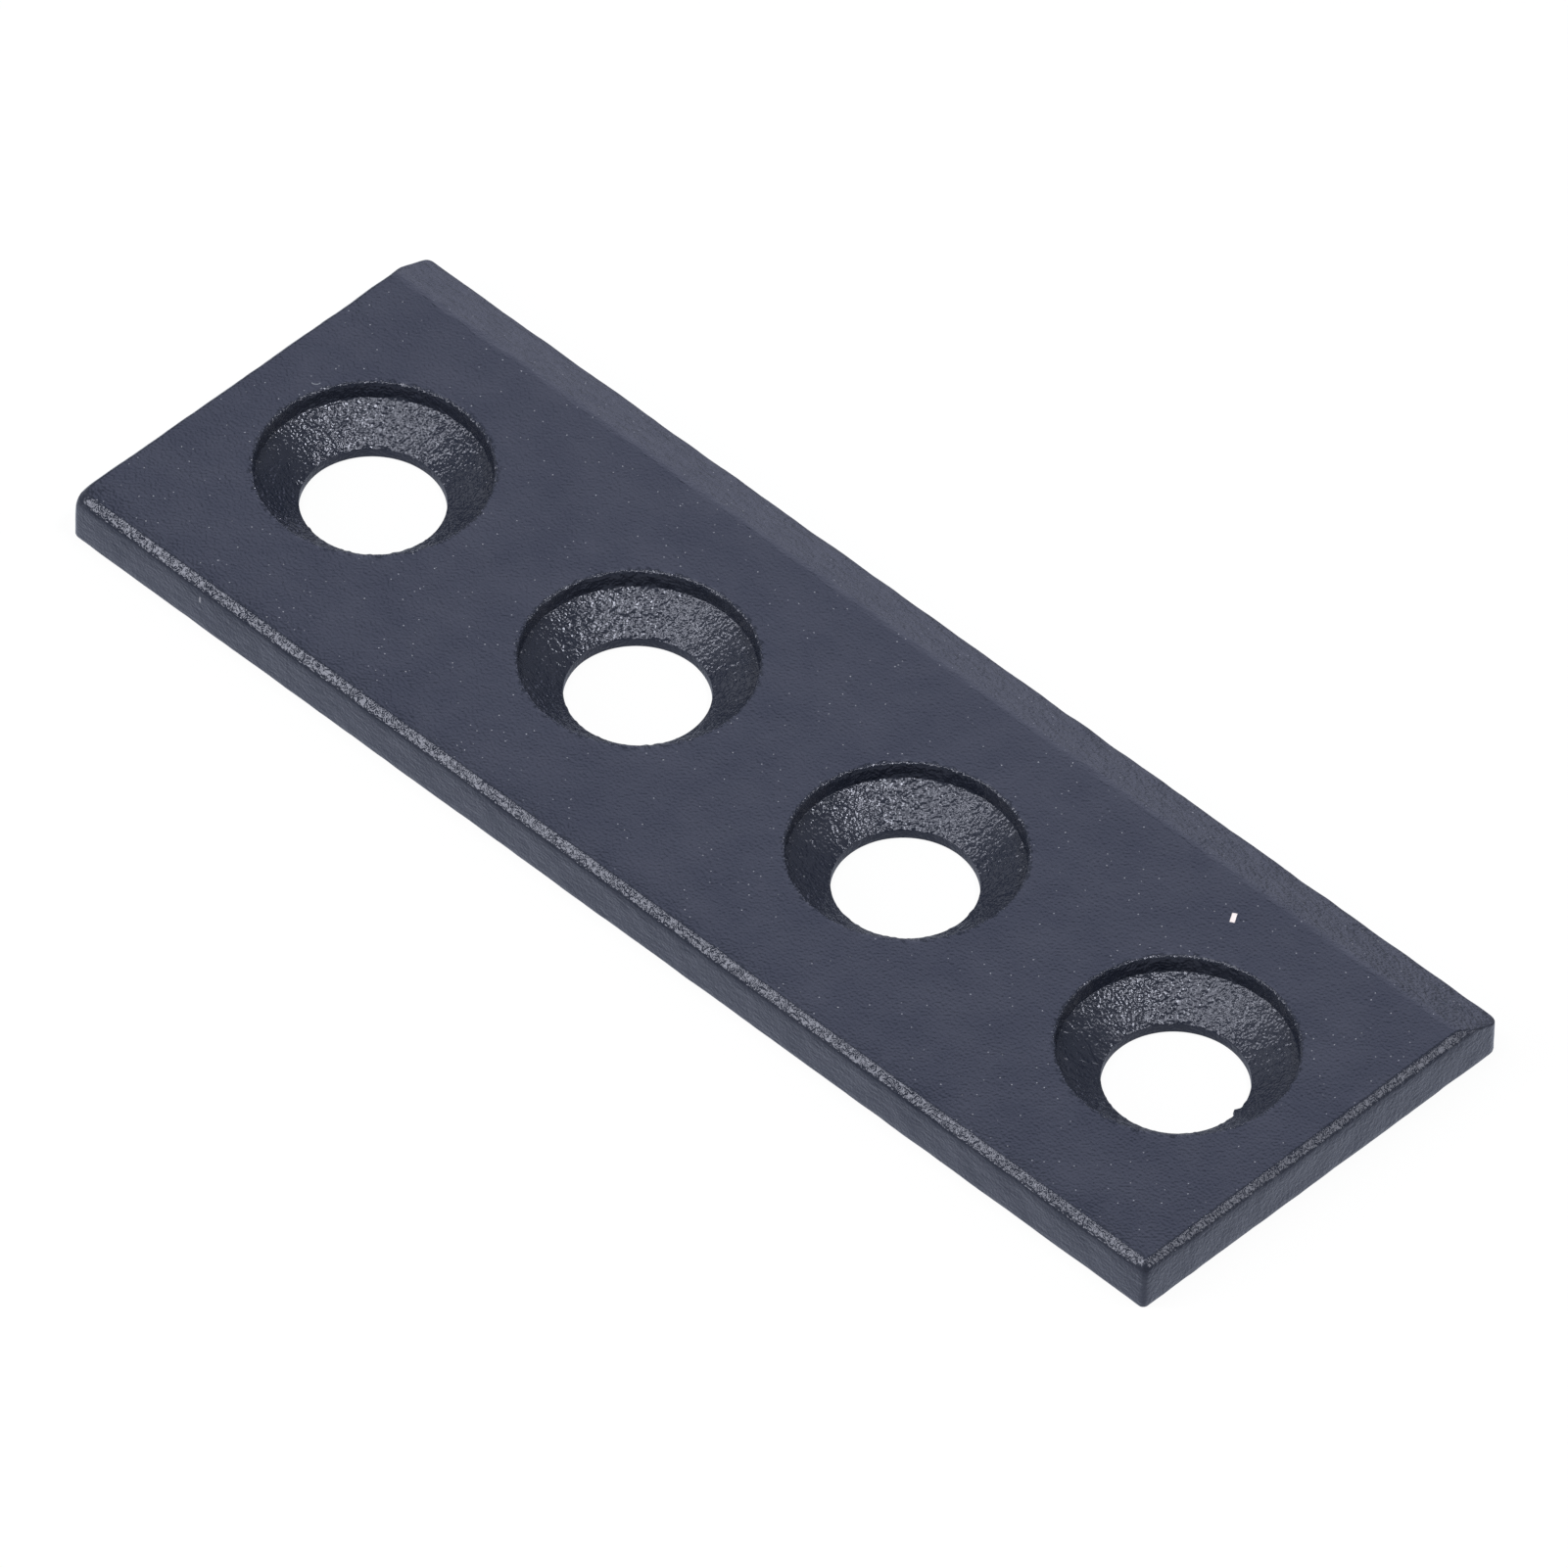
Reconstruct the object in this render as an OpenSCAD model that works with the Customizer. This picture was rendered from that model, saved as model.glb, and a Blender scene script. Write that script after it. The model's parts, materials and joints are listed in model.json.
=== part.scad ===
// Track connector plate
// A flat coated metal bar that bridges the ends of two tracks and is screwed
// down to both. Four screws in a row sink their heads flush in drilled seats.
// One long edge slopes down to a thin nose, and the other is square.
// X runs along the row of holes, +Y points to the sloped edge and +Z is up.
// The origin is the centre of the underside, which lies on Z = 0.

/* [Plate] */
// Width, from the square edge to the sloped edge
plate_w = 34; // [28:0.5:60]
// Thickness
plate_t = 4; // [3.3:0.1:8]
// Distance from each end to the centre of the nearest hole
end_margin = 12.5; // [9:0.5:40]
// Radius of the upright corners, seen from above
corner_r = 0.6; // [0.2:0.1:4]

/* [Edges] */
// Chamfer along the upper edges of the square long side and both ends, at 45 degrees
top_chamfer = 0.6; // [0.2:0.05:1.2]
// Rounding of the lower edges
bottom_edge_r = 0.15; // [0.1:0.05:0.6]
// Width of the slope along the far edge, seen from above
slope_w = 3.7; // [2:0.1:8]
// Height of the upright face left under the slope
nose_h = 2.5; // [1.5:0.1:3]
// Radius of the soft bend where the flat top turns into the slope
slope_bend_r = 2; // [0.5:0.1:4]
// Rounding of the edge between the slope and the upright face
nose_edge_r = 0.2; // [0.1:0.05:0.6]

/* [Screw holes] */
// Number of holes in the row
hole_count = 4; // [1:1:8]
// Distance from one hole to the next
hole_pitch = 25; // [18:0.5:60]
// Distance from the square edge to the row of holes
hole_inset = 16.1; // [10:0.1:20]
// Diameter of the hole for the screw's shank
bore_d = 10; // [8:0.1:13]
// Diameter of the seat for the screw's head
seat_d = 16.2; // [12:0.1:18]
// Depth of the seat's upright wall
seat_wall_h = 1.35; // [0.4:0.05:1.9]
// Full angle of the cone at the bottom of the seat, as a drill point leaves it
seat_angle = 118; // [105:1:160]
// Rounding of the seat's rim at the top face
rim_r = 0.2; // [0.05:0.05:0.35]

/* [Hidden] */
$fn = 96;

// How far a cutter runs past the face that it opens
overrun = 1;

row_l = (hole_count - 1) * hole_pitch;
plate_l = row_l + 2 * end_margin;
half_l = plate_l / 2;
half_w = plate_w / 2;
row_y = hole_inset - half_w;
slope_start_y = half_w - slope_w;
slope_angle = atan((plate_t - nose_h) / slope_w);
bend_tangent = slope_bend_r * tan(slope_angle / 2);
seat_floor_z = plate_t - seat_wall_h;
cone_h = (seat_d - bore_d) / 2 / tan(seat_angle / 2);
bore_wall_h = seat_floor_z - cone_h;

// Dark blue-grey of the coating
coat_colour = [0.28, 0.29, 0.35];

// Removes the corner of a profile outside a rounding of radius r.
// The corner lies at the origin, with the material below it and to its left.
module corner_waste(r) {
    translate([-r, -r])
        difference() {
            square(r + overrun);
            circle(r);
        }
}

// Removes the corner of a profile along a 45 degree chamfer.
// The corner lies at the origin, with the material below it and to its left.
module chamfer_waste(size) {
    polygon([
        [-size, 0],
        [-size, overrun],
        [overrun, overrun],
        [overrun, -size],
        [0, -size]
    ]);
}

// Removes what lies above the soft bend, whose tangents meet at the origin.
// The flat comes in from the left, and the slope leaves to the right.
module bend_waste() {
    centre = [-bend_tangent, -slope_bend_r];
    slope_end = bend_tangent * [cos(slope_angle), -sin(slope_angle)];
    difference() {
        polygon([
            [-bend_tangent, 0],
            [-bend_tangent, overrun],
            slope_end + overrun * [sin(slope_angle), cos(slope_angle)],
            slope_end
        ]);
        translate(centre)
            circle(slope_bend_r);
    }
}

// Removes the sharp nose between the slope and the upright far face.
// The nose's corner lies at the origin.
module nose_waste() {
    turn = 90 - slope_angle;
    tangent = nose_edge_r * tan(turn / 2);
    slope_end = tangent * [-cos(slope_angle), sin(slope_angle)];
    difference() {
        polygon([
            [0, -tangent],
            [overrun, -tangent],
            [overrun, overrun],
            slope_end + overrun * [sin(slope_angle), cos(slope_angle)],
            slope_end
        ]);
        translate([-nose_edge_r, -tangent])
            circle(nose_edge_r);
    }
}

// Section across the plate, drawn with Y to the right and Z up
module cross_section() {
    difference() {
        polygon([
            [-half_w, 0],
            [half_w, 0],
            [half_w, nose_h],
            [slope_start_y, plate_t],
            [-half_w, plate_t]
        ]);
        translate([-half_w, plate_t])
            mirror([1, 0])
                chamfer_waste(top_chamfer);
        translate([slope_start_y, plate_t])
            bend_waste();
        translate([half_w, nose_h])
            nose_waste();
        for (side = [0, 1])
            mirror([side, 0])
                translate([half_w, 0])
                    mirror([0, 1])
                        corner_waste(bottom_edge_r);
    }
}

// Section along the plate, drawn with X to the right and Z up
module end_section() {
    difference() {
        translate([-half_l, 0])
            square([plate_l, plate_t]);
        for (side = [0, 1])
            mirror([side, 0]) {
                translate([half_l, plate_t])
                    chamfer_waste(top_chamfer);
                translate([half_l, 0])
                    mirror([0, 1])
                        corner_waste(bottom_edge_r);
            }
    }
}

// Outline from above, with rounded corners
module plan() {
    difference() {
        square([plate_l, plate_w], center = true);
        for (x_side = [0, 1], y_side = [0, 1])
            mirror([x_side, 0])
                mirror([0, y_side])
                    translate([half_l, half_w])
                        corner_waste(corner_r);
    }
}

// The bar before drilling: its section across, its outline and its section along.
// The chamfer on each end is level, so it dies out where the slope drops away.
module bar() {
    intersection() {
        rotate([90, 0, 90])
            linear_extrude(plate_l, center = true)
                cross_section();
        linear_extrude(plate_t)
            plan();
        rotate([90, 0, 0])
            linear_extrude(plate_w, center = true)
                end_section();
    }
}

// One drilled hole: shank bore, cone, upright seat wall and rounded rim
module screw_hole() {
    translate([0, 0, -overrun])
        cylinder(h = plate_t + 2 * overrun, d = bore_d);
    translate([0, 0, bore_wall_h])
        cylinder(h = cone_h, d1 = bore_d, d2 = seat_d);
    translate([0, 0, seat_floor_z])
        cylinder(h = seat_wall_h + overrun, d = seat_d);
    rotate_extrude()
        translate([seat_d / 2, plate_t])
            mirror([1, 0])
                corner_waste(rim_r);
}

module connector_plate() {
    color(coat_colour)
        difference() {
            bar();
            for (i = [0 : hole_count - 1])
                translate([i * hole_pitch - row_l / 2, row_y, 0])
                    screw_hole();
        }
}

connector_plate();
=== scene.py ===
"""Track connector plate: the coated bar as it looks, on a plain floor in soft light."""

import json
import math

import bmesh
import bpy
import numpy as np
from mathutils import Matrix, Vector, noise


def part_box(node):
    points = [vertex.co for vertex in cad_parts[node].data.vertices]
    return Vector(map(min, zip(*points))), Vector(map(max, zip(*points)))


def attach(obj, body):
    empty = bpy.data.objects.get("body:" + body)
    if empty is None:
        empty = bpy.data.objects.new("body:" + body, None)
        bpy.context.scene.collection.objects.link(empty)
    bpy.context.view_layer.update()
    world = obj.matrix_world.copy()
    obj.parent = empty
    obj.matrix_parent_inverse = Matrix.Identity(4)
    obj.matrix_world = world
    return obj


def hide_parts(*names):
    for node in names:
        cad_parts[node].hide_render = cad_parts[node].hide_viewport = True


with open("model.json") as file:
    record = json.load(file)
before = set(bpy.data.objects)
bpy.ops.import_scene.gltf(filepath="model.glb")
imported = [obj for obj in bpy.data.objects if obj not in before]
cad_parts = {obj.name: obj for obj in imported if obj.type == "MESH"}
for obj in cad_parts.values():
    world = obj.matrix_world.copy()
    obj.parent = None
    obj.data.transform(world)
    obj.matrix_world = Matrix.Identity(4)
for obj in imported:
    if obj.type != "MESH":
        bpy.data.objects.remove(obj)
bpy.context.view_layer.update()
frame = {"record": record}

MM = 0.001
NODE = "connector_plate"

# Edges and seats of the plate, in metres
CHAMFER = {"near": 0.6 * MM, "right": 0.52 * MM, "left": 0.4 * MM}
LOWER_EDGE_R = 0.15 * MM
CORNER_R = {
    "near_left": 0.6 * MM, "near_right": 0.4 * MM,
    "far_right": 0.9 * MM, "far_left": 0.5 * MM,
}
SLOPE_W = 3.7 * MM
NOSE_H = 2.5 * MM
SLOPE_BEND_R = 2.0 * MM
SEAT_R = 8.1 * MM
SEAT_WALL_H = 1.35 * MM
SEAT_CONE_TILT = math.radians(31)
RIM_R = 0.18 * MM
SEAT_FILLET_R = 0.1 * MM
BORE_LIP_R = 0.1 * MM

# Thickness of the coating, by which the outer walls stand out from the solid's
COAT = 0.05 * MM

# Strip along the plate's border that holds its edges: its width from above, the travel
# over it and down the wall, and how far the coating softens the corners on the way
BORDER = 0.7 * MM
BORDER_TRAVEL = 1.75 * MM
SOFTNESS = (0.06 * MM, 0.2 * MM)

# Below a chamfer the wall leans in by this much, over this height. The lean is full under
# chamfers from FULL_CHAMFER up, and LEAST_CHAMFER keeps it from a division by nothing.
LEAN, LEAN_HEIGHT = 0.06 * MM, 0.8 * MM
FULL_CHAMFER = 0.5 * MM
LEAST_CHAMFER = 0.01 * MM

# Mesh steps: length of a grid square, and divisions of each stretch
GRID_STEP = 0.37 * MM
FACE_RINGS = 10
CORNER_STEPS = 5
BORDER_STEPS = 22
WALL_STEPS = 6
LOWER_EDGE_STEPS = 3
BEND_ROWS = 6
SLOPE_ROWS = 12
SEAT_WALL_STEPS = 4
CONE_STEPS = 12
BORE_STEPS = 2
ROUND_STEPS = 4
SOFTENING_SHIFTS = 9

# Shortest length that counts: points closer than this are welded
TINY = 0.001 * MM

# Camera, fitted to the photograph's outline and rims in its 1601 px frame
PHOTO_PX = 1601
SENSOR_MM = 36.0
FOCAL_PX = 32069
CAMERA_AZIMUTH = math.radians(42.807)
CAMERA_ELEVATION = math.radians(45.806)
CAMERA_ROLL = math.radians(2.101)
CAMERA_DISTANCE = 2099 * MM
AIM_RIGHT = 0.233 * MM
AIM_UP = 0.353 * MM
CLIP_START, CLIP_END = 0.05, 20

# The plate's box and its holes, from the frame
box_low, box_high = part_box(NODE)
HALF_L = (box_high.x - box_low.x) / 2 + COAT
HALF_W = (box_high.y - box_low.y) / 2 + COAT
THICKNESS = box_high.z
patterns = [m for m in frame["record"]["mounts"] if m["kind"] == "bolt_pattern"]
BORE_R = patterns[0]["dims"]["hole_r_mm"] * MM
HOLES = sorted(
    (m["pos_m"][0] + side * m["dims"]["spacing_x_mm"] * MM / 2, m["pos_m"][1])
    for m in patterns
    for side in (-1, 1)
)

SLOPE_START = HALF_W - SLOPE_W
SLOPE_TAN = (THICKNESS - NOSE_H) / SLOPE_W
SLOPE_ANGLE = math.atan(SLOPE_TAN)
BEND_START = SLOPE_START - SLOPE_BEND_R * math.tan(SLOPE_ANGLE / 2)
BEND_END = BEND_START + SLOPE_BEND_R * math.sin(SLOPE_ANGLE)
SEAT_FLOOR_Z = THICKNESS - SEAT_WALL_H
LAND_Z = SEAT_FLOOR_Z - (SEAT_R - BORE_R) * math.tan(SEAT_CONE_TILT)


def stations(start, end):
    """Even stations about one grid step apart, both ends included."""
    return np.linspace(start, end, max(2, round((end - start) / GRID_STEP) + 1))


# Stations of the broad faces: X by hole cells, and Y up to the bend and down the slope
cell_edges = [-HALF_L + BORDER]
cell_edges += [(a[0] + b[0]) / 2 for a, b in zip(HOLES, HOLES[1:])]
cell_edges += [HALF_L - BORDER]
cells_x = [stations(a, b) for a, b in zip(cell_edges, cell_edges[1:])]
all_x = np.concatenate([cells_x[0]] + [xs[1:] for xs in cells_x[1:]])
flat_y = stations(-HALF_W + BORDER, BEND_START)
slope_y = np.concatenate([
    np.linspace(BEND_START, BEND_END, BEND_ROWS + 1)[1:],
    np.linspace(BEND_END, HALF_W - BORDER, SLOPE_ROWS + 1)[1:],
])
all_y = np.concatenate([flat_y, slope_y])


def top_height(y):
    """Height of the upper face at y: flat, then a soft bend, then the slope."""
    into_bend = np.clip(y - BEND_START, 0, BEND_END - BEND_START)
    bend = THICKNESS - SLOPE_BEND_R + np.sqrt(SLOPE_BEND_R**2 - into_bend**2)
    return np.where(y > BEND_END, THICKNESS - (y - SLOPE_START) * SLOPE_TAN, bend)


def soft_edge(travel, height, chamfer, tilt=0.0):
    """Inset from the wall and height, after a travel over the border's edge profile.

    The profile comes in along the top at the given height, sinks along the tilt, follows the
    chamfer and goes down the wall. Averaging it over a short travel softens its corners.
    """
    top_travel = (BORDER - chamfer) / math.cos(tilt)
    chamfer_travel = chamfer * math.sqrt(2)
    softness = np.interp(travel, [0, BORDER_TRAVEL], SOFTNESS)
    shifts = np.linspace(-softness, softness, SOFTENING_SHIFTS)
    inset = z = 0
    for at in travel + shifts:
        on_top = np.minimum(at, top_travel)
        on_chamfer = np.clip(at - top_travel, 0, chamfer_travel) / math.sqrt(2)
        on_wall = np.maximum(at - top_travel - chamfer_travel, 0)
        inset = inset + BORDER - on_top * math.cos(tilt) - on_chamfer
        z = z + height - on_top * math.sin(tilt) - on_chamfer - on_wall
    inset, z = inset / len(shifts), z / len(shifts)
    wall_top = height - chamfer
    below = np.clip((z - wall_top + LEAN_HEIGHT) / LEAN_HEIGHT, 0, 1) ** 2
    above = np.clip((height - z) / np.maximum(chamfer, LEAST_CHAMFER), 0, 1)
    return inset + LEAN * np.minimum(chamfer / FULL_CHAMFER, 1) * below * above, z


class Patches:
    """Grids of points that join into one closed mesh where their borders meet."""

    def __init__(self):
        self.points = []
        self.faces = []
        self.count = 0

    def grid(self, rows):
        """Adds quads between the points of an array of shape (rows, columns, 3)."""
        rows = np.asarray(rows, float)
        shape = rows.shape[:2]
        index = np.arange(shape[0] * shape[1]).reshape(shape) + self.count
        quads = np.stack([index[:-1, :-1], index[:-1, 1:], index[1:, 1:], index[1:, :-1]], -1)
        self.faces.append(quads.reshape(-1, 4))
        self.points.append(rows.reshape(-1, 3))
        self.count += index.size

    def mesh(self, name):
        """Joins the grids, welding what meets, with all faces turned outwards."""
        mesh = bpy.data.meshes.new(name)
        mesh.from_pydata(np.concatenate(self.points), [], np.concatenate(self.faces).tolist())
        work = bmesh.new()
        work.from_mesh(mesh)
        bmesh.ops.remove_doubles(work, verts=work.verts, dist=TINY)
        bmesh.ops.recalc_face_normals(work, faces=work.faces)
        work.to_mesh(mesh)
        work.free()
        return mesh


def loop(near, far, end, corner_share):
    """A ring round the plate as a dict of its sides and corners, each an array of points.

    near and far are the (inset, height) of the long sides, and end is a function of an end's
    name and y that gives them there. The corners shrink to a point at a share of nothing.
    """
    y_near, y_far = near[0] - HALF_W, HALF_W - far[0]
    radius = {name: r * corner_share for name, r in CORNER_R.items()}
    sides = {}
    for side, sign in (("right", 1), ("left", -1)):
        reach = [y_near + radius["near_" + side], y_far - radius["far_" + side]]
        ys = np.interp(all_y, [all_y[0], all_y[-1]], reach)
        inset, z = end(side, ys)
        sides[side] = np.column_stack([sign * (HALF_L - inset + 0 * ys), ys, z + 0 * ys])
    for name, y, (_, z), row in (("near", y_near, near, 0), ("far", y_far, far, -1)):
        x_left = sides["left"][row, 0] + radius[name + "_left"]
        x_right = sides["right"][row, 0] - radius[name + "_right"]
        xs = np.interp(all_x, [all_x[0], all_x[-1]], [x_left, x_right])
        sides[name] = np.column_stack([xs, np.full(len(xs), y), np.full(len(xs), z)])

    def corner(name, quarter):
        """An arc from one side to the next, on the slope where they differ in height."""
        row, side = name.split("_")
        end_point = sides[side][0 if row == "near" else -1]
        long_point = sides[row][0 if side == "left" else -1]
        turn = math.pi / 2 * (quarter + np.linspace(0, 1, CORNER_STEPS + 1))
        xs = long_point[0] + radius[name] * np.cos(turn)
        ys = end_point[1] + radius[name] * np.sin(turn)
        share = abs(ys - end_point[1]) / max(radius[name], TINY)
        return np.column_stack([xs, ys, end_point[2] + (long_point[2] - end_point[2]) * share])

    return {
        "near": sides["near"],
        "near_right": corner("near_right", 3),
        "right": sides["right"],
        "far_right": corner("far_right", 0),
        "far": sides["far"][::-1],
        "far_left": corner("far_left", 1),
        "left": sides["left"][::-1],
        "near_left": corner("near_left", 2),
    }


def closed(sides):
    """The sides of a ring as one closed row of points."""
    return np.concatenate(list(sides.values()) + [sides["near"][:1]])


def border_ring(travel):
    """The ring at a travel over the upper edges: chamfered, but soft along the slope."""
    near = soft_edge(travel, THICKNESS, CHAMFER["near"])
    far = soft_edge(travel, float(top_height(HALF_W - BORDER)), 0, SLOPE_ANGLE)

    def end(side, ys):
        height = top_height(ys)
        return soft_edge(travel, height, np.maximum(height - THICKNESS + CHAMFER[side], 0))

    return loop(near, far, end, 1 - far[0] / BORDER)


def edge_rings():
    """Rings down the plate's border: upper edges, upright wall and lower rounding."""
    rings = [border_ring(travel) for travel in np.linspace(0, BORDER_TRAVEL, BORDER_STEPS + 1)]
    wall = rings[-1]
    for share in np.linspace(0, 1, WALL_STEPS + 1)[1:]:
        lowered = {}
        for name, side in wall.items():
            z = side[:, 2] + (LOWER_EDGE_R - side[:, 2]) * share
            lowered[name] = np.column_stack([side[:, :2], z])
        rings.append(lowered)
    lower = []
    for turn in np.linspace(0, math.pi / 2, LOWER_EDGE_STEPS + 1)[1:]:
        lower.append((LOWER_EDGE_R * (1 - math.cos(turn)), LOWER_EDGE_R * (1 - math.sin(turn))))
    for edge in lower + [(BORDER, 0)]:
        rings.append(loop(edge, edge, lambda side, ys: edge, 1 - edge[0] / BORDER))
    return rings


def between(start, end, share):
    """Points from start to end at the given shares of the way."""
    return start + (end - start) * share[:, None]


def hole_borders(sides, seam):
    """For each hole, the border of its cell on a broad face, anticlockwise and closed."""
    near, right, left = sides["near"], sides["right"], sides["left"][::-1]
    rows = len(flat_y)
    share = (right[:rows, 1] - right[0, 1]) / (right[rows - 1, 1] - right[0, 1])
    borders = []
    first = 0
    for xs in cells_x:
        last = first + len(xs) - 1
        rising = right[:rows]
        if last < len(all_x) - 1:
            rising = between(near[last], seam[last], share)
        falling = left[:rows]
        if first > 0:
            falling = between(near[first], seam[first], share)
        border = [near[first:last], rising[:-1], seam[last:first:-1], falling[::-1]]
        borders.append(np.concatenate(border))
        first = last
    return borders


def spokes_of(border, hole):
    """Angles from the hole's centre to each point of its border, rising all the way."""
    return np.unwrap(np.arctan2(border[:, 1] - hole[1], border[:, 0] - hole[0]))


def add_broad_face(patches, sides, hole_r, height):
    """The upper or lower face: a cell round each hole, and the strip at the far edge."""
    right, left = sides["right"], sides["left"][::-1]
    strip = []
    for row in range(len(flat_y) - 1, len(all_y)):
        xs = np.interp(all_x, [all_x[0], all_x[-1]], [left[row, 0], right[row, 0]])
        ys = np.full(len(xs), right[row, 1])
        strip.append(np.column_stack([xs, ys, height(ys)]))
    patches.grid(strip)
    all_spokes = []
    for hole, border in zip(HOLES, hole_borders(sides, strip[0])):
        spokes = spokes_of(border, hole)
        rim = circle(hole, hole_r, border[0, 2], spokes)
        shares = np.linspace(0, 1, FACE_RINGS + 1) ** 2
        patches.grid([rim + (border - rim) * share for share in shares])
        all_spokes.append(spokes)
    return all_spokes


def circle(centre, radius, z, spokes):
    """Points on a level circle at the angles in spokes."""
    xs = centre[0] + radius * np.cos(spokes)
    ys = centre[1] + radius * np.sin(spokes)
    return np.column_stack([xs, ys, np.full(len(spokes), z)])


def arc(centre, radius, start, end):
    """Points (r, z) on an arc of a half section, with angles from the +r axis."""
    turns = np.linspace(start, end, ROUND_STEPS + 1)
    r, z = centre
    return [(r + radius * math.cos(turn), z + radius * math.sin(turn)) for turn in turns]


def straight(start, end, steps):
    """Points (r, z) between two points, without the points themselves."""
    dr, dz = end[0] - start[0], end[1] - start[1]
    shares = np.linspace(0, 1, steps + 1)[1:-1]
    return [(start[0] + dr * share, start[1] + dz * share) for share in shares]


def hole_profile():
    """Half section (r, z) of a drilled hole, from the upper face down to the underside."""
    quarter = math.pi / 2
    bevel_turn = quarter - SEAT_CONE_TILT
    rim = arc((SEAT_R + RIM_R, THICKNESS - RIM_R), RIM_R, quarter, math.pi)
    fillet_z = SEAT_FLOOR_Z + SEAT_FILLET_R * math.tan(bevel_turn / 2)
    fillet = arc((SEAT_R - SEAT_FILLET_R, fillet_z), SEAT_FILLET_R, 0, -bevel_turn)
    lip_z = LAND_Z - BORE_LIP_R * math.tan(bevel_turn / 2)
    lip = arc((BORE_R + BORE_LIP_R, lip_z), BORE_LIP_R, quarter + SEAT_CONE_TILT, math.pi)
    mouth = arc((BORE_R + BORE_LIP_R, BORE_LIP_R), BORE_LIP_R, math.pi, math.pi + quarter)
    return (
        rim + straight(rim[-1], fillet[0], SEAT_WALL_STEPS)
        + fillet + straight(fillet[-1], lip[0], CONE_STEPS)
        + lip + straight(lip[-1], mouth[0], BORE_STEPS) + mouth
    )


def add_hole(patches, hole, top_spokes, low_spokes):
    """A drilled hole, whose spokes drift from the upper face's to the underside's."""
    profile = hole_profile()
    rows = []
    for step, (radius, z) in enumerate(profile):
        share = step / (len(profile) - 1)
        rows.append(circle(hole, radius, z, top_spokes + (low_spokes - top_spokes) * share))
    patches.grid(rows)


def plate_mesh():
    """The whole plate as one closed mesh."""
    patches = Patches()
    rings = edge_rings()
    patches.grid([closed(sides) for sides in rings])
    top_spokes = add_broad_face(patches, rings[0], SEAT_R + RIM_R, top_height)
    low_spokes = add_broad_face(patches, rings[-1], BORE_R + BORE_LIP_R, lambda y: 0 * y)
    for hole, top, low in zip(HOLES, top_spokes, low_spokes):
        add_hole(patches, hole, top, low)
    return patches.mesh("plate")


# How coarse the coating lies, as a share of its coarsest
GRAIN_TOP, GRAIN_SLOPE, GRAIN_WALL = 0.22, 0.22, 0.28
GRAIN_NEAR_CHAMFER, GRAIN_END_CHAMFER = 0.64, 0.58
GRAIN_RIM, GRAIN_SEAT, GRAIN_SEAT_WALL = 0.9, 0.72, 0.4

# The grain in the holes lies finer towards the right end, down to this share of it
GRAIN_RIGHT = 0.92

# Zones of the surface: height up to which it counts as underside, depth within which a
# point counts as on an outer wall, height up to which the walls are streaked, reach of a
# hole's rim, reach and top of a seat's wall, and top of its cone
UNDERSIDE_Z = 0.02 * MM
WALL_DEPTH = 0.02 * MM
STREAKED_TOP = THICKNESS - 1.2 * CHAMFER["near"]
RIM_REACH = 1.2 * RIM_R
SEAT_WALL_REACH = 0.1 * RIM_R
SEAT_WALL_TOP = THICKNESS - 0.9 * RIM_R
CONE_TOP = SEAT_FLOOR_Z + 0.1 * MM

# Wobble of the coated surface: height and length of the slow and the quick waves and of
# those in the seats, their share on the broad faces, and the height at which they are full
SLOW_WAVE, SLOW_LENGTH = 0.05 * MM, 2.2 * MM
QUICK_WAVE, QUICK_LENGTH = 0.015 * MM, 0.7 * MM
SEAT_WAVE, SEAT_LENGTH = 0.09 * MM, 0.4 * MM
BROAD_FACE_SHARE = 0.25
FULL_WAVE_Z = 0.5 * MM

# Near the corners the near chamfer turns into a rounding that stands out this far. Each
# end has the distances at which the rounding starts to fade and is gone. Points count as on
# the chamfer within BULGE_BAND of its size.
CORNER_BULGE = 0.09 * MM
BULGE_BAND = 0.3
BULGE_LEFT = (1.1 * MM, 2.2 * MM)
BULGE_RIGHT = (0.4 * MM, 1.1 * MM)

# The upper near corner at the left end is worn round: how far in, and within what distance
WORN_IN, WORN_REACH = 0.42 * MM, 1.6 * MM

# Bead of coating in the last hole: its place round the bore, height, reach inwards, radius,
# and the depth within which points count as on the bore's wall
BEAD_TURN = math.radians(9)
BEAD_Z = 0.55 * MM
BEAD_REACH = 0.5 * MM
BEAD_R = 0.28 * MM
BEAD_DEPTH = 0.3 * MM


def near_hole(points):
    """Distance from each point to the axis of its nearest hole."""
    return np.min([np.hypot(points[:, 0] - x, points[:, 1] - y) for x, y in HOLES], axis=0)


def off_corners(x):
    """0 at the near corners, and 1 where the near chamfer runs flat."""
    left = np.interp(HALF_L + x, BULGE_LEFT, [0, 1])
    right = np.interp(HALF_L - x, BULGE_RIGHT, [0, 1])
    return np.minimum(left, right)


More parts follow.
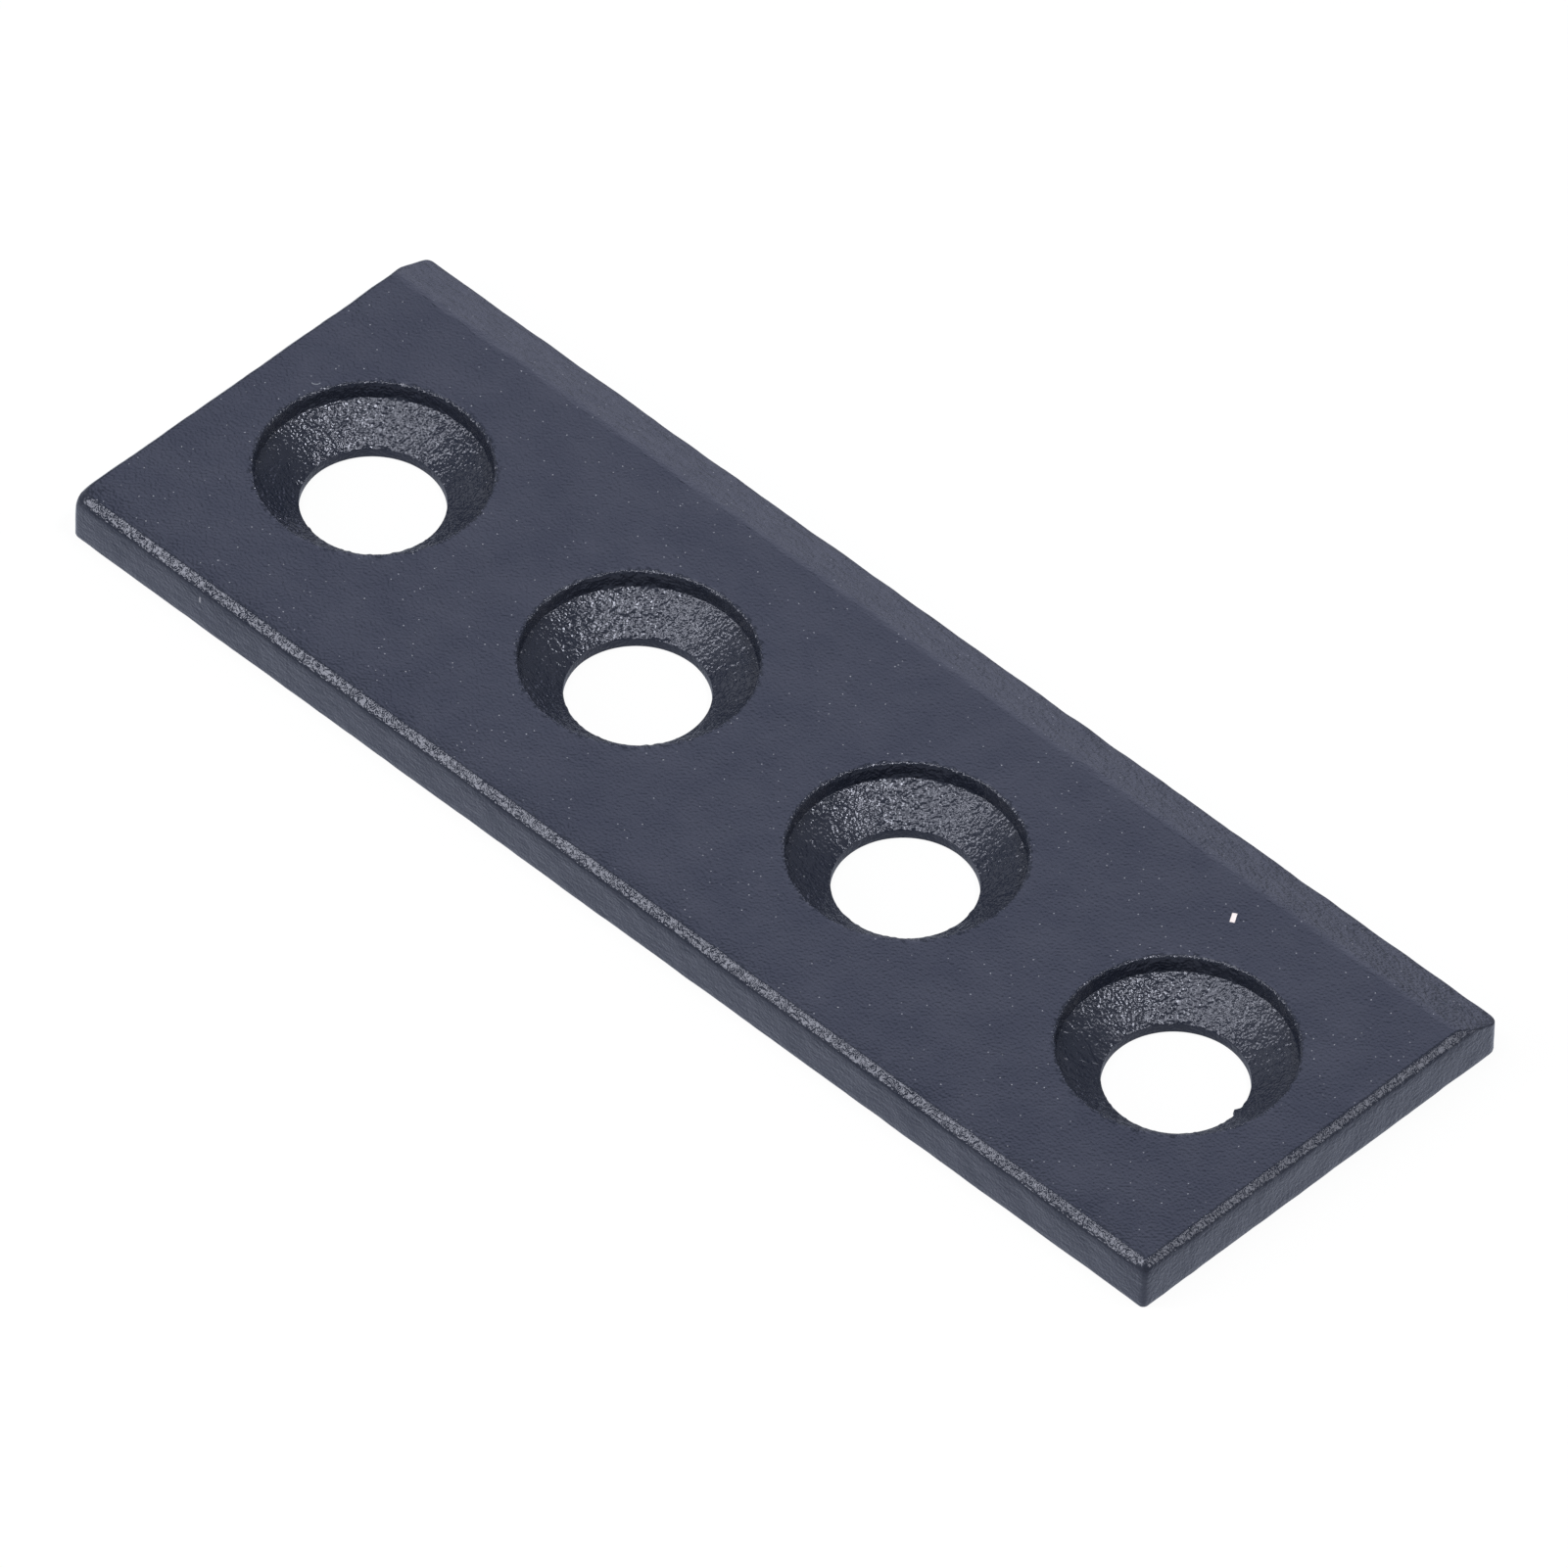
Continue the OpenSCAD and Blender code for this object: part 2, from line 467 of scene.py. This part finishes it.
def coarse_share(points):
    """Share of the coarsest grain at each point: coarse in the seats and on the chamfers."""
    x, y, z = points.T
    from_hole = near_hole(points)
    end_chamfer = np.where(x > 0, CHAMFER["right"], CHAMFER["left"])
    end_inset = HALF_L - abs(x)
    near_inset = HALF_W + y
    high = z > THICKNESS - CHAMFER["near"]
    chamfered = high & ((near_inset < CHAMFER["near"]) | (end_inset < end_chamfer))
    wall = np.minimum(np.minimum(end_inset, near_inset), HALF_W - y) < WALL_DEPTH
    share = np.where(y > SLOPE_START, GRAIN_SLOPE, GRAIN_TOP)
    share = np.where(wall, GRAIN_WALL, share)
    chamfer_share = GRAIN_WALL + (GRAIN_NEAR_CHAMFER - GRAIN_WALL) * off_corners(x)
    chamfer_share = np.where(near_inset < CHAMFER["near"], chamfer_share, GRAIN_END_CHAMFER)
    share = np.where(chamfered, chamfer_share, share)
    in_hole = from_hole < SEAT_R + RIM_REACH
    share = np.where(in_hole, GRAIN_RIM, share)
    seat_wall = (from_hole < SEAT_R + SEAT_WALL_REACH) & (z < SEAT_WALL_TOP)
    share = np.where(seat_wall, GRAIN_SEAT_WALL, share)
    share = np.where((from_hole < SEAT_R) & (z < CONE_TOP), GRAIN_SEAT, share)
    share = share * np.where(in_hole, np.interp(x, [-HALF_L, HALF_L], [1, GRAIN_RIGHT]), 1)
    return np.where(z < UNDERSIDE_Z, GRAIN_TOP, share)


def streaked_share(points):
    """1 on the slope and the outer walls, which the photograph shows faintly streaked."""
    x, y, z = points.T
    outside = np.maximum(abs(x) - HALF_L, -y - HALF_W) > -WALL_DEPTH
    streaked = (outside & (z < STREAKED_TOP)) | (y > BEND_START)
    return np.where(streaked & (z > UNDERSIDE_Z), 1.0, 0.0)


def wobble(mesh, points):
    """Moves the points a little along their normals, as a coating lies unevenly."""
    normals = np.empty(points.size)
    mesh.vertex_normals.foreach_get("vector", normals)
    normals = normals.reshape(-1, 3)
    lift = np.array([
        SLOW_WAVE * noise.noise(Vector(point) / SLOW_LENGTH)
        + QUICK_WAVE * noise.noise(Vector(point) / QUICK_LENGTH)
        for point in points
    ])
    at_edge = np.minimum(HALF_L - abs(points[:, 0]), HALF_W - abs(points[:, 1])) < BORDER
    lift *= np.where(at_edge, 1.0, BROAD_FACE_SHARE)
    in_seat = near_hole(points) < SEAT_R + RIM_REACH
    for i in np.flatnonzero(in_seat & (points[:, 2] > LAND_Z)):
        lift[i] += SEAT_WAVE * noise.noise(Vector(points[i]) / SEAT_LENGTH)
    move = normals * lift[:, None]
    move[:, 2] *= np.clip(points[:, 2] / FULL_WAVE_Z, 0, 1)
    return points + move


def bulge(points):
    """Rounds the near chamfer off where it comes to the corners."""
    inset = points[:, 1] + HALF_W
    drop = THICKNESS - points[:, 2]
    size = CHAMFER["near"]
    across = (inset - drop) / (2 * size) + 0.5
    close = abs(inset + drop - size) < BULGE_BAND * size
    on_chamfer = close & (across > 0) & (across < 1)
    push = np.where(on_chamfer, CORNER_BULGE * 4 * across * (1 - across), 0)
    push *= 1 - off_corners(points[:, 0])
    moved = points.copy()
    moved[:, 1] -= push / math.sqrt(2)
    moved[:, 2] += push / math.sqrt(2)
    return moved


def wear_corner(points):
    """Wears the left end's upper near corner down into a ball."""
    off = points - np.array([-HALF_L, -HALF_W, THICKNESS])
    share = np.clip(1 - np.linalg.norm(off, axis=1) / WORN_REACH, 0, 1) ** 2
    return points + WORN_IN * share[:, None] * np.array([1, 1, -1]) / math.sqrt(3)


def bead(points):
    """Pulls part of the last bore's wall inwards into a small bead of coating."""
    hx, hy = HOLES[-1]
    across, along = points[:, 0] - hx, points[:, 1] - hy
    radius = np.hypot(across, along)
    turn = np.arctan2(along, across) - BEAD_TURN
    off = np.hypot(radius * turn, points[:, 2] - BEAD_Z) / BEAD_R
    on_wall = abs(radius - BORE_R) < BEAD_DEPTH
    pull = np.where(on_wall, BEAD_REACH * np.exp(-off**2), 0) / np.maximum(radius, MM)
    moved = points.copy()
    moved[:, 0] -= across * pull
    moved[:, 1] -= along * pull
    return moved


def make_plate():
    """The coated plate as one object that stands for the node's plain solid."""
    mesh = plate_mesh()
    mesh.shade_smooth()
    points = np.empty(3 * len(mesh.vertices))
    mesh.vertices.foreach_get("co", points)
    points = points.reshape(-1, 3)
    for name, share in (("coarse", coarse_share(points)), ("streaked", streaked_share(points))):
        mesh.attributes.new(name, "FLOAT", "POINT").data.foreach_set("value", share)
    mesh.vertices.foreach_set("co", bead(wobble(mesh, wear_corner(bulge(points)))).ravel())
    mesh.update()
    plate = bpy.data.objects.new("coated_plate", mesh)
    bpy.context.scene.collection.objects.link(plate)
    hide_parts(NODE)
    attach(plate, "root")
    return plate


class Graph:
    """Short helpers for building a material's nodes."""

    def __init__(self, name):
        self.material = bpy.data.materials.new(name)
        self.material.use_nodes = True
        self.nodes = self.material.node_tree.nodes
        self.links = self.material.node_tree.links
        self.nodes.clear()
        self.output = self.nodes.new("ShaderNodeOutputMaterial")

    def node(self, kind, inputs=None, **settings):
        made = self.nodes.new(kind)
        for key, value in settings.items():
            setattr(made, key, value)
        for key, value in (inputs or {}).items():
            self.set(made.inputs[key], value)
        return made

    def set(self, socket, value):
        if isinstance(value, bpy.types.NodeSocket):
            self.links.new(value, socket)
        else:
            socket.default_value = value

    def math(self, operation, a, b=0.0, c=0.0):
        made = self.node("ShaderNodeMath", operation=operation)
        for socket, value in zip(made.inputs, (a, b, c)):
            self.set(socket, value)
        return made.outputs[0]

    def noise(self, vector, scale, detail=2.0, roughness=0.5):
        made = self.node(
            "ShaderNodeTexNoise",
            {"Vector": vector, "Scale": scale, "Detail": detail, "Roughness": roughness},
        )
        return made.outputs["Fac"]

    def ramp(self, fac, low, high, to_low=0.0, to_high=1.0):
        made = self.node(
            "ShaderNodeMapRange",
            {"Value": fac, "From Min": low, "From Max": high, "To Min": to_low, "To Max": to_high},
        )
        return made.outputs["Result"]

    def mix_colour(self, fac, a, b):
        made = self.node("ShaderNodeMix", data_type="RGBA")
        self.set(made.inputs[0], fac)
        self.set(made.inputs[6], a)
        self.set(made.inputs[7], b)
        return made.outputs[2]


# Coating: its two shades, with the scale and the range of the mottling that mixes them
COAT_COLOUR = (0.012, 0.015, 0.026, 1)
COAT_PALE = (0.020, 0.023, 0.035, 1)
MOTTLE_SCALE, MOTTLE_RANGE = 260, (0.35, 0.65)
COAT_IOR = 1.6
COAT_TINT = (0.8, 0.82, 0.94, 1)

# Roughness of the fine grain, and of the coarse grain from the left end to the right one,
# with the shares of coarseness between which one turns into the other
COAT_ROUGHNESS = 0.22
SEAT_ROUGHNESS = (0.14, 0.24)
COARSE_RANGE = (0.5, 0.66)

# Grain: full height, scales of its pebbles and its grit, and their shares
GRAIN_HEIGHT = 0.125 * MM
PEBBLE_SCALE, GRIT_SCALE = 4800, 9000
PEBBLE_SHARE, GRIT_SHARE = 0.85, 0.15

# Fine streaks on the slope and the walls: scale by axis and share of the grain's height
STREAK_SCALE = (900, 2400, 2400)
STREAK_SHARE = 0.6

# Faint paler smudges on the slope and the walls, longer along the plate than across it
SMUDGE_SCALE = (600, 1400, 800)
SMUDGE_RANGE = (0.4, 0.65)
SMUDGE_COLOUR = (0.024, 0.027, 0.040, 1)

# Dust: cells per metre, size of a speck in its cell and share of the cells with one, how
# strongly a speck shows, and how far up a surface faces where dust or a flake lies
DUST_LAYERS = ((620, 0.04, 0.12), (1500, 0.09, 0.1), (2600, 0.03, 0.14))
DUST_STRENGTH = (0.2, 0.9)
DUST_COLOUR = (0.30, 0.31, 0.34, 1)
DUST_FACING = (0.8, 0.95)
FLAKE_FACING = (0.5, 0.9)

# Fine hair that lies on the plate: an arc with its centre, radius, half width, direction,
# and the cosine of half its turn
HAIR_AT = (-46.1 * MM, 2.22 * MM, 0)
HAIR_R = 0.38 * MM
HAIR_HALF = 0.035 * MM
HAIR_FACING = (0.68, -0.734, 0)
HAIR_COS = 0.62
HAIR_COLOUR = (0.16, 0.17, 0.19, 1)

# White flake that lies on the plate: centre, turn and half sizes
FLAKE_AT = (31.98 * MM, 10.2 * MM, 0)
FLAKE_TURN = math.radians(31)
FLAKE_HALF = (0.17 * MM, 0.42 * MM, 1)
FLAKE_COLOUR = (0.80, 0.72, 0.70, 1)

# Bit of pale lint that hangs on the near wall: centre and half sizes
LINT_AT = (-37.89 * MM, -17.05 * MM, 2.52 * MM)
LINT_HALF = (0.08 * MM, 0.3 * MM, 0.22 * MM)
LINT_COLOUR = (0.22, 0.22, 0.24, 1)

# Soft edges of the hair and of the oblong bits, as shares of their half sizes
HAIR_FADE = (1.3, 0.7)
OBLONG_FADE = (1.1, 0.95)


def dust_mask(g, place, scale, size, share):
    """Sparse round specks on what faces up: share of the cells that have one."""
    cells = g.node(
        "ShaderNodeTexVoronoi", {"Vector": place, "Scale": scale}, voronoi_dimensions="2D"
    )
    draw = g.node("ShaderNodeSeparateColor", {"Color": cells.outputs["Color"]})
    near = g.ramp(cells.outputs["Distance"], size, size * 0.5)
    chosen = g.math("LESS_THAN", draw.outputs["Red"], share)
    strength = g.ramp(draw.outputs["Green"], 0, 1, *DUST_STRENGTH)
    return g.math("MULTIPLY", near, g.math("MULTIPLY", chosen, strength))


def oblong_mask(g, place, centre, turn, half):
    """A small oblong, turned about the upright axis, with its half sizes."""
    local = g.node(
        "ShaderNodeMapping",
        {"Vector": place, "Location": centre, "Rotation": (0, 0, turn), "Scale": half},
        vector_type="TEXTURE",
    )
    axes = g.node("ShaderNodeSeparateXYZ", {"Vector": local.outputs["Vector"]})
    x, y, z = (g.math("ABSOLUTE", axes.outputs[axis]) for axis in "XYZ")
    return g.ramp(g.math("MAXIMUM", g.math("MAXIMUM", x, y), z), *OBLONG_FADE)


def hair_mask(g, place):
    """The short curved hair."""
    away = g.node("ShaderNodeVectorMath", {0: place, 1: HAIR_AT}, operation="SUBTRACT")
    flat = g.node(
        "ShaderNodeVectorMath", {0: away.outputs["Vector"], 1: (1, 1, 0)}, operation="MULTIPLY"
    ).outputs["Vector"]
    reach = g.node("ShaderNodeVectorMath", {0: flat}, operation="LENGTH").outputs["Value"]
    along = g.node(
        "ShaderNodeVectorMath", {0: flat, 1: HAIR_FACING}, operation="DOT_PRODUCT"
    ).outputs["Value"]
    off_line = g.math("ABSOLUTE", g.math("SUBTRACT", reach, HAIR_R))
    on_line = g.ramp(off_line, *(share * HAIR_HALF for share in HAIR_FADE))
    in_arc = g.math("GREATER_THAN", g.math("DIVIDE", along, reach), HAIR_COS)
    return g.math("MULTIPLY", on_line, in_arc)


def stretched(g, place, scale):
    """The place stretched by a scale for each axis."""
    return g.node("ShaderNodeMapping", {"Vector": place, "Scale": scale}).outputs["Vector"]


def coating_material():
    """Dark powder coat: pebbled skin, faint mottling and specks of pale dust."""
    g = Graph("dark_powder_coat")
    place = g.node("ShaderNodeTexCoord").outputs["Object"]
    coarse = g.node("ShaderNodeAttribute", attribute_name="coarse").outputs["Fac"]
    streaked = g.node("ShaderNodeAttribute", attribute_name="streaked").outputs["Fac"]
    faces_up = g.node("ShaderNodeSeparateXYZ", {
        "Vector": g.node("ShaderNodeNewGeometry").outputs["Normal"]
    }).outputs["Z"]
    along = g.node("ShaderNodeSeparateXYZ", {"Vector": place}).outputs["X"]

    # Height of the skin: grain where it is coarse, and streaks
    pebbles = g.noise(place, PEBBLE_SCALE, 0)
    grit = g.noise(place, GRIT_SCALE, 1)
    grain = g.math("MULTIPLY_ADD", pebbles, PEBBLE_SHARE, g.math("MULTIPLY", grit, GRIT_SHARE))
    grain = g.math("MULTIPLY", g.math("SUBTRACT", grain, 0.5), coarse)
    streaks = g.noise(stretched(g, place, STREAK_SCALE), 1, 3, 0.6)
    streaks = g.math("MULTIPLY", g.math("SUBTRACT", streaks, 0.5), streaked)
    height = g.math("MULTIPLY_ADD", streaks, STREAK_SHARE, grain)
    bump = g.node("ShaderNodeBump", {"Strength": 1.0, "Distance": GRAIN_HEIGHT, "Height": height})

    # Colour: two shades, smudges, dust, and the bits that lie on the plate
    mottle = g.ramp(g.noise(place, MOTTLE_SCALE, 4, 0.6), *MOTTLE_RANGE)
    colour = g.mix_colour(mottle, COAT_COLOUR, COAT_PALE)
    smudges = g.ramp(g.noise(stretched(g, place, SMUDGE_SCALE), 1), *SMUDGE_RANGE)
    colour = g.mix_colour(g.math("MULTIPLY", smudges, streaked), colour, SMUDGE_COLOUR)
    specks = 0.0
    for layer in DUST_LAYERS:
        specks = g.math("MAXIMUM", specks, dust_mask(g, place, *layer))
    specks = g.math("MULTIPLY", specks, g.ramp(faces_up, *DUST_FACING))
    colour = g.mix_colour(specks, colour, DUST_COLOUR)
    on_top = g.ramp(faces_up, *FLAKE_FACING)
    colour = g.mix_colour(g.math("MULTIPLY", hair_mask(g, place), on_top), colour, HAIR_COLOUR)
    flake = oblong_mask(g, place, FLAKE_AT, FLAKE_TURN, FLAKE_HALF)
    colour = g.mix_colour(g.math("MULTIPLY", flake, on_top), colour, FLAKE_COLOUR)
    colour = g.mix_colour(oblong_mask(g, place, LINT_AT, 0, LINT_HALF), colour, LINT_COLOUR)

    seat_roughness = g.ramp(along, -HALF_L, HALF_L, *SEAT_ROUGHNESS)
    roughness = g.ramp(coarse, *COARSE_RANGE, COAT_ROUGHNESS, seat_roughness)
    shader = g.node("ShaderNodeBsdfPrincipled", {
        "Base Color": colour,
        "Roughness": roughness,
        "IOR": COAT_IOR,
        "Specular Tint": COAT_TINT,
        "Normal": bump.outputs["Normal"],
    })
    g.set(g.output.inputs["Surface"], shader.outputs[0])
    return g.material


# Floor: size, how far below the plate it lies, colour, and share of its own glow
FLOOR_SIZE = 3.0
FLOOR_DROP = 0.02 * MM
FLOOR_COLOUR = (0.86, 0.86, 0.86, 1)
FLOOR_GLOW = 0.93

# The glow in reflections: tint, distances from the plate at which it starts to fall and has
# fallen, what is left there, how far in under the plate it falls, and what is left there
GLOW_TINT = (0.70, 0.755, 0.90, 1)
GLOW_NEAR, GLOW_FAR, GLOW_LOW = 0.8 * MM, 9 * MM, 0.3
GLOW_INSET, GLOW_UNDER = 2 * MM, 0.5

# Surroundings beyond the lamps
WORLD_COLOUR = (0.9, 0.94, 1.0, 1)
WORLD_STRENGTH = 0.25

# Lamps, all at one distance: name, direction, width and height, radiance and colour
LAMP_DISTANCE = 0.8
WHITE = (1, 1, 1)
LAMPS = (
    ("overhead", (-0.08, -0.25, 0.96), (0.5, 0.5), 2.8, WHITE),
    ("overhead_key", (-0.1, -0.36, 0.93), (0.1, 0.1), 14.0, WHITE),
    ("near", (-0.46, -0.74, 0.46), (0.38, 0.34), 6.7, WHITE),
    ("near_left", (-0.40, -0.42, 0.81), (0.1, 0.1), 14.0, WHITE),
    ("right_key", (0.40, 0.05, 0.91), (0.11, 0.11), 33.0, WHITE),
    ("far_right", (0.33, 0.20, 0.92), (0.11, 0.11), 28.0, WHITE),
    ("right", (0.76, 0.54, 0.37), (0.28, 0.36), 4.1, WHITE),
    ("far_left", (-0.50, 0.67, 0.45), (0.42, 0.8), 0.77, (0.88, 0.91, 1.18)),
    ("left", (-0.92, 0.0, 0.39), (0.4, 0.4), 0.47, WHITE),
)


def floor_material():
    """Plain white floor: bright to the camera and in reflections, and it keeps the shadow.

    Reflections see it bright beside the plate and dim further out, as on a small light table.
    """
    g = Graph("white_floor")
    path = g.node("ShaderNodeLightPath")
    place = g.node("ShaderNodeTexCoord").outputs["Object"]
    axes = g.node("ShaderNodeSeparateXYZ", {"Vector": place})
    off_x = g.math("SUBTRACT", g.math("ABSOLUTE", axes.outputs["X"]), HALF_L)
    off_y = g.math("SUBTRACT", g.math("ABSOLUTE", axes.outputs["Y"]), HALF_W)
    off = g.math("MAXIMUM", off_x, off_y)
    nearness = g.ramp(off, GLOW_NEAR, GLOW_FAR, 1.0, GLOW_LOW)
    from_under = g.ramp(off, -GLOW_INSET, 0.0, GLOW_UNDER, 1.0)
    nearness = g.math("MULTIPLY", nearness, from_under)
    seen = g.math("MAXIMUM", path.outputs["Is Camera Ray"], path.outputs["Is Transmission Ray"])
    glow = g.math("MAXIMUM", seen, nearness)
    glowing = g.math("MAXIMUM", seen, path.outputs["Is Glossy Ray"])
    share = g.math("MULTIPLY", glowing, FLOOR_GLOW)
    paper = g.node("ShaderNodeBsdfDiffuse", {"Color": FLOOR_COLOUR})
    tint = g.mix_colour(seen, GLOW_TINT, (1, 1, 1, 1))
    light = g.node("ShaderNodeEmission", {"Color": tint, "Strength": glow})
    mixed = g.node("ShaderNodeMixShader")
    g.set(mixed.inputs[0], share)
    g.set(mixed.inputs[1], paper.outputs[0])
    g.set(mixed.inputs[2], light.outputs[0])
    g.set(g.output.inputs["Surface"], mixed.outputs[0])
    return g.material


def make_floor():
    """The floor, which belongs to the stage and not to the part."""
    bpy.ops.mesh.primitive_plane_add(size=FLOOR_SIZE, location=(0, 0, -FLOOR_DROP))
    floor = bpy.context.object
    floor.name = "floor"
    floor.data.materials.append(floor_material())


def make_camera():
    """Places the camera at the fitted angle and distance, with the photograph's small roll."""
    a, e, roll = CAMERA_AZIMUTH, CAMERA_ELEVATION, CAMERA_ROLL
    back = Vector((math.sin(a) * math.cos(e), -math.cos(a) * math.cos(e), math.sin(e)))
    level_right = Vector((math.cos(a), math.sin(a), 0))
    level_up = back.cross(level_right)
    right = math.cos(roll) * level_right + math.sin(roll) * level_up
    up = math.cos(roll) * level_up - math.sin(roll) * level_right
    place = AIM_RIGHT * level_right + AIM_UP * level_up + CAMERA_DISTANCE * back
    data = bpy.data.cameras.new("camera")
    data.sensor_width = SENSOR_MM
    data.lens = FOCAL_PX / PHOTO_PX * SENSOR_MM
    data.clip_start, data.clip_end = CLIP_START, CLIP_END
    camera = bpy.data.objects.new("camera", data)
    turn = Matrix((right, up, back)).transposed().to_4x4()
    camera.matrix_world = Matrix.Translation(place) @ turn
    bpy.context.scene.collection.objects.link(camera)
    bpy.context.scene.camera = camera


def softbox(name, direction, size, radiance, colour):
    """An oblong area lamp of a width and height that faces the plate from a direction."""
    data = bpy.data.lights.new(name, "AREA")
    data.shape = "RECTANGLE"
    data.size, data.size_y = size
    data.energy = radiance * math.pi * size[0] * size[1]
    data.color = colour
    lamp = bpy.data.objects.new(name, data)
    away = Vector(direction).normalized()
    lamp.location = away * LAMP_DISTANCE
    lamp.rotation_mode = "QUATERNION"
    lamp.rotation_quaternion = away.to_track_quat("Z", "Y")
    bpy.context.scene.collection.objects.link(lamp)


def make_world():
    """Dim surroundings beyond the lamps."""
    world = bpy.data.worlds.new("studio")
    bpy.context.scene.world = world
    world.use_nodes = True
    background = world.node_tree.nodes["Background"]
    background.inputs["Color"].default_value = WORLD_COLOUR
    background.inputs["Strength"].default_value = WORLD_STRENGTH


bpy.context.scene.view_settings.view_transform = "Standard"
plate = make_plate()
plate.data.materials.append(coating_material())
make_floor()
make_world()
for lamp in LAMPS:
    softbox(*lamp)
make_camera()
